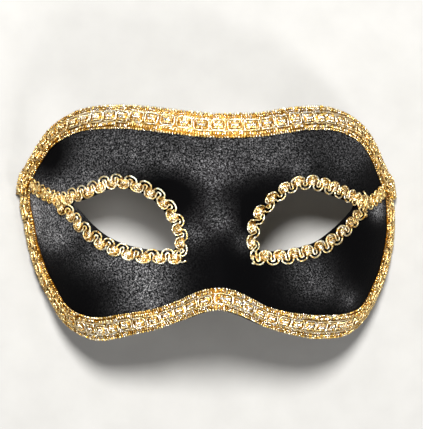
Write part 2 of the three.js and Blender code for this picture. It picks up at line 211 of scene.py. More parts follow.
# %% Notes for writing node trees
class Nodes:
    """Writes a node tree as plain calls: a value may be a number, a node or a node's socket."""

    def __init__(self, tree):
        self.tree = tree

    def add(self, kind, values=None, **settings):
        node = self.tree.nodes.new(kind)
        for name, value in settings.items():
            setattr(node, name, value)
        for key, value in (values or {}).items():
            self.feed(self.socket(node, key), value)
        return node

    def socket(self, node, key):
        if isinstance(key, int):
            return node.inputs[key]
        return next(s for s in node.inputs if s.name == key and s.enabled)

    def feed(self, socket, value):
        if isinstance(value, bpy.types.Node):
            value = next(s for s in value.outputs if s.enabled)
        if isinstance(value, bpy.types.NodeSocket):
            self.tree.links.new(value, socket)
        else:
            socket.default_value = value

    def math(self, operation, *values):
        return self.add("ShaderNodeMath", dict(enumerate(values)), operation=operation)

    def shares(self, *parts):
        """The sum of some values, each times its share."""
        total = 0.0
        for value, share in parts:
            total = self.math("MULTIPLY_ADD", value, share, total)
        return total

    def place(self):
        """The place on the piece itself, so that a pattern never slides."""
        return self.add("ShaderNodeTexCoord").outputs["Object"]

    def attribute(self, name):
        return self.add("ShaderNodeAttribute", attribute_name=name).outputs["Fac"]

    def noise(self, place, scale, detail, roughness=0.5):
        values = {"Vector": place, "Scale": scale, "Detail": detail, "Roughness": roughness}
        return self.add("ShaderNodeTexNoise", values).outputs["Fac"]

    def bump(self, height, strength, distance):
        values = {"Height": height, "Strength": strength, "Distance": distance}
        return self.add("ShaderNodeBump", values)

    def ramp(self, value, stops):
        node = self.add("ShaderNodeValToRGB", {"Fac": value})
        band = node.color_ramp
        while len(band.elements) < len(stops):
            band.elements.new(0.5)
        for element, (place, colour) in zip(band.elements, stops):
            element.position = place
            element.color = (*colour, 1)
        return node


def new_finish(name):
    finish = bpy.data.materials.new(name)
    finish.use_nodes = True
    finish.node_tree.nodes.clear()
    return finish, Nodes(finish.node_tree)


def close_finish(nodes, values):
    shader = nodes.add("ShaderNodeBsdfPrincipled", values)
    nodes.add("ShaderNodeOutputMaterial", {"Surface": shader})

# %% Floor
FLOOR_SIZE = 3.0
FLOOR_TONES = [(0.3, (0.33, 0.328, 0.32)), (0.7, (0.355, 0.353, 0.345))]

floor_data = bpy.data.meshes.new("floor")
half = FLOOR_SIZE / 2
floor_data.from_pydata([(-half, -half, 0), (half, -half, 0), (half, half, 0), (-half, half, 0)], [],
                       [(0, 1, 2, 3)])
floor = bpy.data.objects.new("floor", floor_data)
bpy.context.scene.collection.objects.link(floor)
floor_finish, nodes = new_finish("pale_floor")
grain = nodes.noise(nodes.place(), 60.0, 4.0)
close_finish(nodes, {"Base Color": nodes.ramp(grain, FLOOR_TONES), "Roughness": 0.8})
floor_data.materials.append(floor_finish)

# %% Soft lamps
# name: position in metres, size in metres, power in watts, colour
LAMPS = {
    "key": ((-0.08, 0.42, 1.10), 0.30, 32.5, (1.0, 0.985, 0.96)),
    "left": ((-1.00, -0.10, 0.50), 0.30, 2.0, (1.0, 0.98, 0.96)),
    "right": ((0.55, -0.70, 0.85), 0.30, 7.5, (1.0, 0.98, 0.96)),
}
LAMP_TARGET = Vector((0, 0, 0.03))


def hang_lamp(name, place, size, power, colour):
    data = bpy.data.lights.new(name, "AREA")
    data.shape, data.size, data.energy, data.color = "DISK", size, power, colour
    lamp = bpy.data.objects.new(name, data)
    lamp.location = place
    lamp.rotation_euler = (LAMP_TARGET - Vector(place)).to_track_quat("-Z", "Y").to_euler()
    bpy.context.scene.collection.objects.link(lamp)


for name, (place, size, power, colour) in LAMPS.items():
    hang_lamp(name, place, size, power, colour)

ROOM_LIGHT = 0.08
world = bpy.data.worlds.new("room")
world.use_nodes = True
backdrop = world.node_tree.nodes["Background"]
backdrop.inputs["Color"].default_value = (0.95, 0.97, 1.0, 1)
backdrop.inputs["Strength"].default_value = ROOM_LIGHT
bpy.context.scene.world = world
bpy.context.scene.view_settings.view_transform = "Standard"
print("lamps:", ", ".join(LAMPS))

# %% [markdown]
# ## Outlines
# A maker draws the mask's edge and the two eye holes on the form with chalk and cuts along
# the lines. The same lines are given here as a few points each, girth first and then y,
# and a smooth curve is drawn through them. The two halves differ a little, as handwork does.

# %% Chalk lines on the form
EDGE_RIGHT = [
    (0, 47.4), (17.5, 47.9), (29, 49.8), (42, 51.4), (56, 51.4), (67, 49.5), (77, 46.2), (86, 40.8),
    (94, 33), (101, 25.5), (107.5, 19.5), (110, 13), (110.8, 5), (111.1, -3), (110.4, -9),
    (108.3, -15.5), (104.5, -24), (99, -32), (91.5, -41), (82.5, -47), (70, -50.4), (57.5, -51.3),
    (45, -50.8), (33, -48.6), (21, -45.2), (12.5, -41.3), (6, -38.9), (0, -37.8),
]
EDGE_LEFT = [
    (0, 47.4), (14, 48.3), (31, 50.4), (44, 51.2), (56, 50.8), (66, 49.6), (77, 46.2), (88, 40.4),
    (98, 31), (105, 23.5), (109.2, 15), (108.9, 7), (107.3, 0), (106.2, -9), (104, -16.5),
    (99.5, -25.5), (92, -35), (84, -43), (74, -48.4), (62, -51.6), (50, -51.7), (38, -49.6),
    (26, -46.8), (15, -42.6), (6.5, -38.9), (0, -37.8),
]
EYE_RIGHT = [
    (73.2, 8.1), (66, 10.2), (57.5, 12.3), (49.5, 14.2), (42, 15.6), (36, 14.1), (30.5, 10.4),
    (25, 5.1), (21, 0.1), (18.9, -5), (18.3, -9), (19.6, -11.5), (25, -12), (33, -11.3),
    (41, -9.8), (48.5, -7.7), (55, -4.5), (62, -0.4), (68.5, 4),
]
EYE_LEFT = [
    (70.2, 7.6), (62.5, 9.6), (55.5, 11.9), (49.5, 14.1), (43.5, 14.8), (37, 13.2), (31, 10.8),
    (25.5, 6.7), (21.5, 1.5), (19, -4.2), (18.2, -9), (19.5, -11.9), (25, -12), (33, -11.1),
    (41, -9.5), (48, -7.3), (54, -4.3), (60.5, 0.1), (66, 4.7),
]
EYE_CENTRE = (44.0, 1.0)
LINE_STEPS = 24


def smooth_line(points, closed=False):
    """A smooth curve through the points, with LINE_STEPS short pieces from one to the next."""
    p = np.array(points, float)
    n, t = len(p), np.linspace(0, 1, LINE_STEPS, endpoint=False)[:, None]
    out = []
    for i in range(n if closed else n - 1):
        p1, p2 = p[i], p[(i + 1) % n]
        p0 = p[i - 1] if closed or i else 2 * p1 - p2
        p3 = p[(i + 2) % n] if closed or i + 2 < n else 2 * p2 - p1
        d0, d1, d2 = (np.linalg.norm(b - a) ** 0.5 for a, b in ((p0, p1), (p1, p2), (p2, p3)))
        start = ((p1 - p0) / d0 - (p2 - p0) / (d0 + d1) + (p2 - p1) / d1) * d1
        end = ((p2 - p1) / d1 - (p3 - p1) / (d1 + d2) + (p3 - p2) / d2) * d1
        out.append(p1 * (2 * t ** 3 - 3 * t * t + 1) + start * (t ** 3 - 2 * t * t + t)
                   + p2 * (3 * t * t - 2 * t ** 3) + end * (t ** 3 - t * t))
    out.append(p[:1] if closed else p[-1:])
    return np.vstack(out)


def mirrored(points):
    return [(-girth, y) for girth, y in points]


def read_table(at, known, rows):
    """The rows of a table read at new values, column by column."""
    return np.stack([np.interp(at, known, column) for column in rows.T], 1)


def spaced(line, count=None, step=None, on_form=False):
    """The same line with its points evenly spaced, on the chart or on the form, and its length."""
    points = face_point(line[:, 0], line[:, 1]) if on_form else line
    run = np.r_[0, np.cumsum(np.linalg.norm(np.diff(points, axis=0), axis=1))]
    count = count or round(run[-1] / step)
    at = np.linspace(0, run[-1], count + 1)
    return read_table(at, run, line), run[-1]


whole_edge = smooth_line(EDGE_RIGHT + mirrored(EDGE_LEFT)[-2:0:-1], closed=True)
notch = (len(EDGE_RIGHT) - 1) * LINE_STEPS
EDGE_LINES = {1: whole_edge[:notch + 1], -1: whole_edge[notch:][::-1]}
EYE_LINES = {1: smooth_line(EYE_RIGHT, closed=True), -1: smooth_line(mirrored(EYE_LEFT), closed=True)}
print("edge round the form, mm:", round(spaced(whole_edge, count=9, on_form=True)[1], 1))

# %% [markdown]
# ## The wall of the mask
# Shell and velvet are the same wall at different depths, so they share one grid. In each
# half, rays from the eye's centre join the eye hole to the mask's edge and to the middle
# line, and rings are spaced between them. Where the wall ends, its section turns round in
# a half circle: tight for the paper shell, wider for the velvet that is folded over it.

# %% Grid of each half
EDGE_STATIONS = 220
MIDDLE_STATIONS = 56
WALL_RINGS = 32
TURN_START = 1.9
WALL_MIDDLE = 1.775
FOOT_REACH, FOOT_LEVEL = 1.9, 0.7
FOOT_FADE = (2.4, 4.6)
NOSE_CROWDING = 1.25
FINE_COUNT = 2000


def stations_on_edge(side):
    """Even stations from the top of the middle line round the edge, closer near the nose."""
    even = spaced(EDGE_LINES[side], count=FINE_COUNT)[0]
    at = 1 - (1 - np.linspace(0, 1, EDGE_STATIONS + 1)) ** NOSE_CROWDING
    return read_table(at * FINE_COUNT, np.arange(FINE_COUNT + 1), even)


def heading_across(places, line):
    """The heading over the form at right angles to a closed line, to its left."""
    points = face_point(line[:, 0], line[:, 1])
    run = np.roll(points[:-1], -1, 0) - np.roll(points[:-1], 1, 0)
    run = np.vstack([run, run[:1]])
    nearest = ((places[:, None] - line[None]) ** 2).sum(-1).argmin(1)
    return unit(np.cross(face_normal(places[:, 0], places[:, 1]), unit(run[nearest])))


def hole_crossings(side, rays):
    """Where rays from the eye's centre cross the hole's line."""
    line = EYE_LINES[side][:-1]
    centre = np.array([EYE_CENTRE[0] * side, EYE_CENTRE[1]])
    turn = np.arctan2(line[:, 1] - centre[1], line[:, 0] - centre[0])
    order = np.argsort(turn)
    turn, line = turn[order], line[order]
    turn = np.r_[turn[-1] - 2 * np.pi, turn, turn[0] + 2 * np.pi]
    line = np.vstack([line[-1], line, line[0]])
    angle = np.arctan2(rays[:, 1] - centre[1], rays[:, 0] - centre[0])
    return read_table(angle, turn, line)


def half_grid(side):
    """Places of one half's wall: the turn's start at the eye, rings, the turn's start at the edge."""
    edge = stations_on_edge(side)
    low = 1 - smooth_step(*FOOT_FADE, face_point(edge[:, 0], edge[:, 1])[:, 2])
    inward = heading_across(edge, whole_edge) * -1
    edge[:, 0] += side * FOOT_REACH * low
    edge_start, edge_in = walk(edge, inward, TURN_START)
    middle = np.linspace(edge_start[-1], edge_start[0], MIDDLE_STATIONS + 1)[1:-1]
    outer = np.vstack([edge_start, middle])
    hole = hole_crossings(side, outer)
    away = heading_across(hole, EYE_LINES[side])
    centre_way = face_point(hole[:, 0], hole[:, 1]) - face_point(EYE_CENTRE[0] * side, EYE_CENTRE[1])
    away *= np.sign((away * centre_way).sum(-1, keepdims=True))
    eye_start, eye_in = walk(hole, away, TURN_START)
    t = np.linspace(0, 1, WALL_RINGS + 1)[:, None, None]
    rings = eye_start[None] + (outer - eye_start)[None] * t
    return {"rings": rings, "edge": (edge_start, edge_in), "eye": (eye_start, eye_in)}


GRIDS = {side: half_grid(side) for side in (1, -1)}
print("stations in each half:", GRIDS[1]["rings"].shape[1])

# %% From the grid to a closed wall
HAND_WAVES = [(0.20, 0.071, 0.043, 0.4), (0.15, -0.052, 0.115, 2.1), (0.10, 0.163, -0.092, 4.0)]


def hand_unevenness(girth, y):
    """The slight waves of paper that was pressed by hand, in mm."""
    return sum(high * np.sin(girth * a + y * b + c) for high, a, b, c in HAND_WAVES)


def deep(places, depth):
    """Points at a depth under the velvet's face."""
    girth, y = places[..., 0], places[..., 1]
    lifted = hand_unevenness(girth, y) - depth
    return face_point(girth, y) + face_normal(girth, y) * lifted[..., None]


def turned_rows(start, inward, radius, steps):
    """Rows of the half circle in which the wall turns round, from its face to its back."""
    normal = face_normal(start[:, 0], start[:, 1])
    centre = deep(start, WALL_MIDDLE)
    out = -inward
    return [centre + out * (radius * math.cos(a)) + normal * (radius * math.sin(a))
            for a in np.linspace(math.pi / 2, -math.pi / 2, steps + 1)[1:-1]]


def back_rows(start, inward, depth, reaches):
    """Rows at one depth, further and further inward from the turn."""
    return [deep(walk(start, inward, reach)[0] if reach else start, depth) for reach in reaches]


class WallMesh:
    """Collects rows of points, one after another round the wall's section, as faces."""

    def __init__(self):
        self.points, self.faces, self.count = [], [], 0

    def add(self, rows, closed, flip):
        rows = np.array(rows)
        n_rows, n = rows.shape[:2]
        index = np.arange(n_rows * n).reshape(n_rows, n) + self.count
        right = np.roll(index, -1, 1) if closed else index[:, 1:]
        left = index if closed else index[:, :-1]
        quads = np.stack([left[:-1], left[1:], right[1:], right[:-1]], -1).reshape(-1, 4)
        self.faces.append(quads[:, ::-1] if flip else quads)
        self.points.append(rows.reshape(-1, 3))
        self.count += n_rows * n


def closed_wall(layers):
    """Points and faces of both halves, from a rule that gives the rows of one half's grid."""
    wall = WallMesh()
    on_edge = slice(0, EDGE_STATIONS + 1)
    for side, grid in GRIDS.items():
        face, back, eye_turn, edge_turn = layers(grid)
        wall.add(back + eye_turn + face, True, side < 0)
        wall.add([face[-1][on_edge]] + edge_turn + [back[0][on_edge]], False, side < 0)
    return np.vstack(wall.points), np.vstack(wall.faces)

# %% From points and faces to a piece
MERGE_REACH = 0.02


def piece_from(name, points, faces, finish, level=FOOT_LEVEL):
    """A mesh piece from points of the form in mm, with its doubles merged."""
    points = np.array(points, float)
    points[:, 2] = np.maximum(points[:, 2], level)
    data = bpy.data.meshes.new(name)
    data.from_pydata(((points + FORM_TO_FRAME) * MM).tolist(), [], [list(map(int, f)) for f in faces])
    data.validate()
    piece = bpy.data.objects.new(name, data)
    bpy.context.scene.collection.objects.link(piece)
    b = bmesh.new()
    b.from_mesh(data)
    bmesh.ops.remove_doubles(b, verts=b.verts, dist=MERGE_REACH * MM)
    if b.calc_volume(signed=True) < 0:
        bmesh.ops.reverse_faces(b, faces=b.faces)
    b.to_mesh(data)
    b.free()
    data.shade_smooth()
    data.materials.append(finish)
    return piece


def finish_piece(piece, finish_slot, *nodes):
    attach(piece, "root")
    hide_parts(*nodes)
    triangles = sum(len(f.vertices) - 2 for f in piece.data.polygons)
    print(piece.name, "has", triangles, "triangles")

# %% [markdown]
# ## The paper shell
# Papier-mache is torn paper pasted in layers over the form and dried until it is stiff. It
# shows only from behind, where the overlapping strips leave low edges and a dull, porous
# surface. The strips are drawn by the finish: broad cells for the torn pieces, their edges
# raised as bump, and fine fibre noise for the colour. The rim is rounded, as dried paste is.

# %% Finish of the raw paper
PAPER_TONES = [(0.15, (0.30, 0.24, 0.17)), (0.5, (0.47, 0.40, 0.30)), (0.9, (0.62, 0.55, 0.44))]
# waves in a metre
TORN_SCALE, FIBRE_SCALE, PULP_SCALE = 62.0, 900.0, 160.0


def paper_finish():
    finish, n = new_finish("raw_papier_mache")
    place = n.place()
    strips = n.add("ShaderNodeTexVoronoi", {"Vector": place, "Scale": TORN_SCALE},
                   feature="DISTANCE_TO_EDGE")
    tone = n.add("ShaderNodeTexVoronoi", {"Vector": place, "Scale": TORN_SCALE}, feature="F1")
    fibre = n.noise(place, FIBRE_SCALE, 6.0, 0.7)
    pulp = n.noise(place, PULP_SCALE, 5.0)
    mixed = n.shares((tone.outputs["Color"], 0.35), (pulp, 0.65))
    edge = n.math("MINIMUM", strips.outputs["Distance"], 0.08)
    close_finish(n, {
        "Base Color": n.ramp(mixed, PAPER_TONES),
        "Normal": n.bump(n.shares((edge, 6.0), (fibre, 0.5)), 0.55, 0.0006),
        "Roughness": n.math("MULTIPLY_ADD", pulp, 0.25, 0.68),
    })
    return finish

# %% The shell
SHELL_FACE, SHELL_BACK = 0.85, 2.7
SHELL_TURN_STEPS = 6
SHELL_OVER_FOOT = 0.8


def shell_layers(grid):
    radius = (SHELL_BACK - SHELL_FACE) / 2
    face = [deep(ring, SHELL_FACE) for ring in grid["rings"]]
    back = [deep(ring, SHELL_BACK) for ring in grid["rings"][::-1]]
    eye_turn, edge_turn = (turned_rows(*grid[rim], radius, SHELL_TURN_STEPS) for rim in ("eye", "edge"))
    return face, back, eye_turn[::-1], edge_turn


shell = piece_from("moulded_shell", *closed_wall(shell_layers), paper_finish(),
                   level=FOOT_LEVEL + SHELL_OVER_FOOT)
finish_piece(shell, "papier_mache", "mask_base")

# %% [markdown]
# ## The velvet
# Cotton or silk velvet is a cloth with a short cut pile. Looked at along the pile it is
# deep black, and where the pile lies over it turns grey and glossy, so a velvet mask has
# broad soft lights and small sparkling grains. It is glued over the shell, its cut edges
# are turned in behind, and it never hangs but lies stretched on the shell.
# A cloth simulation would only find the form again, so the sheet is laid on the form, with
# hems that turn round the rim and the eye holes. Its broad lights are painted sheen: an
# attribute of soft patches lightens its colour where the lights fall.

# %% The sheet with its turned-in hems
VELVET_THICKNESS = 0.8
VELVET_TURN_STEPS = 8
EDGE_HEM = (1.4, 2.8, 4.2, 5.6, 7.0)
EYE_HEM = (1.2, 2.4, 3.6, 5.0)


def hem_rows(start, inward, hem):
    """Rows of a hem's outer side and of its glued side, from the turn to the cut edge."""
    sides = []
    for radius in (WALL_MIDDLE, WALL_MIDDLE - VELVET_THICKNESS):
        sides.append(turned_rows(start, inward, radius, VELVET_TURN_STEPS)
                     + back_rows(start, inward, WALL_MIDDLE + radius, (0,) + hem))
    return sides


def velvet_layers(grid):
    face = [deep(ring, 0) for ring in grid["rings"]]
    under = [deep(ring, VELVET_THICKNESS) for ring in grid["rings"][::-1]]
    eye_outer, eye_glued = hem_rows(*grid["eye"], EYE_HEM)
    edge_outer, edge_glued = hem_rows(*grid["edge"], EDGE_HEM)
    return face, under, eye_glued + eye_outer[::-1], edge_outer + edge_glued[::-1]

# %% Painted sheen of the velvet
# girth, y, reach across, reach up, how much sheen is painted (less than none: painted shade)
PAINTED_SHEEN_PATCHES = [
    # brow and forehead
    (-43, 35, 27, 13, 0.62), (-72, 22, 13, 8, 0.24), (-66, 44, 12, 9, 0.32), (-50, 26, 24, 8, 0.25),
    (6, 38, 22, 13, 0.58), (31, 35, 15, 10, 0.44), (38, 24, 6, 6, 0.50), (62, 30, 18, 15, 0.44),
    (88, 40, 18, 12, 0.75), (57, 40, 11, 5, 0.24), (74, 36, 6, 5, 0.20), (-82, 27, 11, 9, -0.38),
    # just above the gimps, beside the bridge
    (-20, 27, 12, 4.5, 0.38), (19, 26, 14, 5, 0.40),
    # bridge of the nose
    (-3, 23, 13, 7, 0.50), (-2, 14, 5.5, 10, 0.33), (1, 3, 9, 7, 0.38), (-11, -5, 7, 6, 0.60),
    (12, -8, 5, 4.5, 0.46), (3, -1, 6, 4, 0.36), (9, 21, 6, 4, 0.20), (15, 1, 5, 8, -0.28),
    # painted shade beside the nose
    (-21, 17, 12, 9, -0.16),
    # temples
    (-95, 5, 24, 15, 1.40), (-99, 2, 6, 10, 0.50), (-86, -9, 10, 5, 0.60), (-74, -6, 14, 9, 0.55),
    (-60, 17, 10, 6, 0.45), (-78, 15.5, 10, 3, 0.35), (92, 6.3, 8, 4.8, 1.60),
    # cheeks
    (-29, -29, 13, 18, 0.82), (-49, -18, 18, 8, 0.76), (-40, -36, 13, 12, 0.36),
    (-29, -18, 10, 5, 0.16), (46, -22, 12, 9, 0.56), (36, -20, 6, 6, 0.24), (53, -30, 14, 6, 0.42),
    (71, -35, 8, 5, 0.66),
]
PAINTED_SHEEN_MOST = 1.8


# Painted sheen: the broad lights of the velvet painted into its colour, summed from the patches.
def painted_sheen(girth, y):
    lay = 0 * girth
    for cx, cy, rx, ry, amount in PAINTED_SHEEN_PATCHES:
        lay = lay + amount * bell((girth - cx) / rx) * bell((y - cy) / ry)
    return np.clip(lay, 0, PAINTED_SHEEN_MOST)


def chart_of(points):
    """The place on the chart of points near the form: its girth and y, found by its section."""
    x, y = points[:, 0], points[:, 1]
    radius = section_radius(x, y)
    return np.arcsin(np.clip(x / radius, -1, 1)) * radius, y


def set_point_attribute(piece, name, values):
    attribute = piece.data.attributes.new(name, "FLOAT", "POINT")
    attribute.data.foreach_set("value", np.asarray(values, np.float32))


def points_of(piece):
    co = np.empty(len(piece.data.vertices) * 3)
    piece.data.vertices.foreach_get("co", co)
    return co.reshape(-1, 3) / MM - FORM_TO_FRAME

# %% Finish of the velvet
TUFT_SCALE, ROW_SCALE, SHEEN_PATCH_SCALE = 1900.0, 1100.0, 90.0
PAINTED_GLINT_CONTRAST, PAINTED_SHEEN_SCALE, PAINTED_GLINT_FLOOR = 11.0, 0.256, 0.05
VELVET_BLACK_AND_PAINTED_SHEEN = [
    (0.0, (0.0010, 0.0010, 0.0012)), (0.12, (0.011, 0.011, 0.0115)), (0.25, (0.034, 0.034, 0.036)),
    (0.5, (0.12, 0.12, 0.125)), (1.0, (0.36, 0.36, 0.37)),
]


def velvet_finish():
    finish, n = new_finish("black_velvet")
    place = n.place()
    # The base colour is the velvet's black with painted sheen laid over it, broken into painted glints
    # by the fine grain; roughness follows the same patches.
    sheen_patchiness = n.math("ADD", n.noise(place, SHEEN_PATCH_SCALE, 3.0), 0.5)
    cloud = n.math("MULTIPLY", n.attribute("painted_sheen"), sheen_patchiness)
    grain = n.shares((n.noise(place, TUFT_SCALE, 1.0, 0.6), 0.6),
                     (n.noise(place, ROW_SCALE, 1.0, 0.6), 0.4))
    glint = n.math("MULTIPLY_ADD", n.math("SUBTRACT", grain, 0.5), PAINTED_GLINT_CONTRAST, 1.0)
    sparkle = n.math("MAXIMUM", glint, PAINTED_GLINT_FLOOR)
    painted_shine = n.math("MULTIPLY", cloud, n.math("MULTIPLY", sparkle, PAINTED_SHEEN_SCALE))
    close_finish(n, {
        "Base Color": n.ramp(painted_shine, VELVET_BLACK_AND_PAINTED_SHEEN), "Normal": n.bump(grain, 0.6, 0.0004),
        "Specular IOR Level": 0.02, "Roughness": n.math("MULTIPLY_ADD", cloud, -0.25, 0.85),
        "Sheen Weight": 0.012, "Sheen Roughness": 0.35, "Sheen Tint": (0.75, 0.77, 0.82, 1),
    })
    return finish

# %% The velvet cover
velvet = piece_from("velvet_sheet", *closed_wall(velvet_layers), velvet_finish())
girth_of, y_of = chart_of(points_of(velvet))
# The painted sheen is kept on the points for the finish to read.
set_point_attribute(velvet, "painted_sheen", painted_sheen(girth_of, y_of))
finish_piece(velvet, "velvet", "velvet_cover")
velvet_area = sum(face.area for face in velvet.data.polygons) / 2
print("one layer of velvet, m2:", round(velvet_area, 5))

# %% [markdown]
# ## Gold thread
# The gold of such braid is a thin metal strip, or a metallised film, wound round a core
# thread. Its colour is painted brighter where a stitch stands up, painted light with some wear,
# and brown between the stitches, painted shade with some tarnish. One finish serves braid and
# gimp. It reads two attributes that the weaving leaves on the mesh: the tone, a random number
# for each stitch, and the height of each point over the velvet in mm. A third one paints shade
# on the sides of the mask: there the gold is made darker and deeper in colour. Fine noise
# makes the bump of the metal strip, and in the colour it paints small flashes and dark
# flecks, as painted glints and painted shade.

# %% Finish of the gold thread
# Tint and depth of the painted shade on the sides of the mask.
SIDE_SHADE_TINT, SIDE_SHADE_DEPTH = (0.94, 0.77, 0.44, 1), 0.8
GLANCING_GOLD = (1.0, 0.84, 0.55, 1)
# how much each of these moves the colour: metal strip (painted glints and flecks), wear, tone of the
# stitch, height (painted light on tops and painted shade low down, with tarnish)
PAINTED_GLINT_SHARE, WEAR_SHARE, TONE_SHARE, PAINTED_LIGHT_AND_TARNISH_SHARE = 1.2, 1.15, 0.65, 0.38
EVEN_TONE, EVEN_HEIGHT, TOP_HEIGHT = 0.5, 0.75, 1.3
STRIP_SCALE, FLAKE_SCALE, WEAR_SCALE = 1500.0, 2600.0, 620.0


def gold_finish(name, colours):
    finish, n = new_finish(name)
    place, tone, painted_side_shade = n.place(), n.attribute("tone"), n.attribute("painted_side_shade")
    # Height paints light on the tops of the stitches and shade low between them, with some tarnish
    # there.
    height = n.math("MINIMUM", n.attribute("height"), TOP_HEIGHT)
    strip = n.noise(place, STRIP_SCALE, 2.0, 0.8)
    wear = n.noise(place, WEAR_SCALE, 1.0)
    flake = n.add("ShaderNodeTexVoronoi", {"Vector": place, "Scale": FLAKE_SCALE}, feature="F1")
    mix = n.shares(*((n.math("SUBTRACT", value, even), share) for value, even, share in (
        (strip, EVEN_TONE, PAINTED_GLINT_SHARE), (wear, EVEN_TONE, WEAR_SHARE),
        (tone, EVEN_TONE, TONE_SHARE), (height, EVEN_HEIGHT, PAINTED_LIGHT_AND_TARNISH_SHARE))))
    # Painted shade of the sides: stronger contrast and a darker, deeper gold tint multiplied in.
    deeper = n.math("MULTIPLY_ADD", painted_side_shade, SIDE_SHADE_DEPTH, 1.0)
    colour = n.add("ShaderNodeMix", {"Factor": painted_side_shade}, data_type="RGBA", blend_type="MULTIPLY")
    n.feed(colour.inputs[6], n.ramp(n.math("MULTIPLY_ADD", mix, deeper, EVEN_TONE), colours))
    n.feed(colour.inputs[7], SIDE_SHADE_TINT)
    ridges = n.shares((strip, 1.0), (flake.outputs["Distance"], 0.6))
    close_finish(n, {
        "Base Color": colour.outputs[2], "Normal": n.bump(ridges, 0.8, 0.00025), "Metallic": 0.97,
        "Roughness": n.math("MULTIPLY_ADD", tone, -0.12, 0.37), "Specular Tint": GLANCING_GOLD,
    })
    return finish


# Each ramp runs from dark brown, painted shade with tarnish, through gold to near white, painted
# highlight.
BRAID_GOLD = gold_finish("gold_braid_thread", [
    (0.08, (0.18, 0.080, 0.009)), (0.31, (0.45, 0.25, 0.040)), (0.50, (0.79, 0.55, 0.155)),
    (0.68, (0.95, 0.80, 0.45)), (0.86, (1.0, 0.98, 0.90))])
GIMP_GOLD = gold_finish("gold_gimp_thread", [
    (0.10, (0.10, 0.042, 0.006)), (0.30, (0.38, 0.20, 0.040)), (0.50, (0.76, 0.53, 0.175)),
    (0.64, (0.97, 0.84, 0.50)), (0.80, (1.0, 0.98, 0.88))])

# %% [markdown]
# ## Weaving with Geometry Nodes
# A braid is one small pattern, repeated some forty times along a strip. That is what
# Geometry Nodes are for: a tree makes one thread, one stitch and one link of the pattern,
# and sets them out in rows. Each strip is woven flat and straight, as on a loom, and laid
# on the mask afterwards. The tree ends by making the copies real, with their finish.

# %% Notes for weaving trees
TWO_PLY_FLATNESS = 0.74


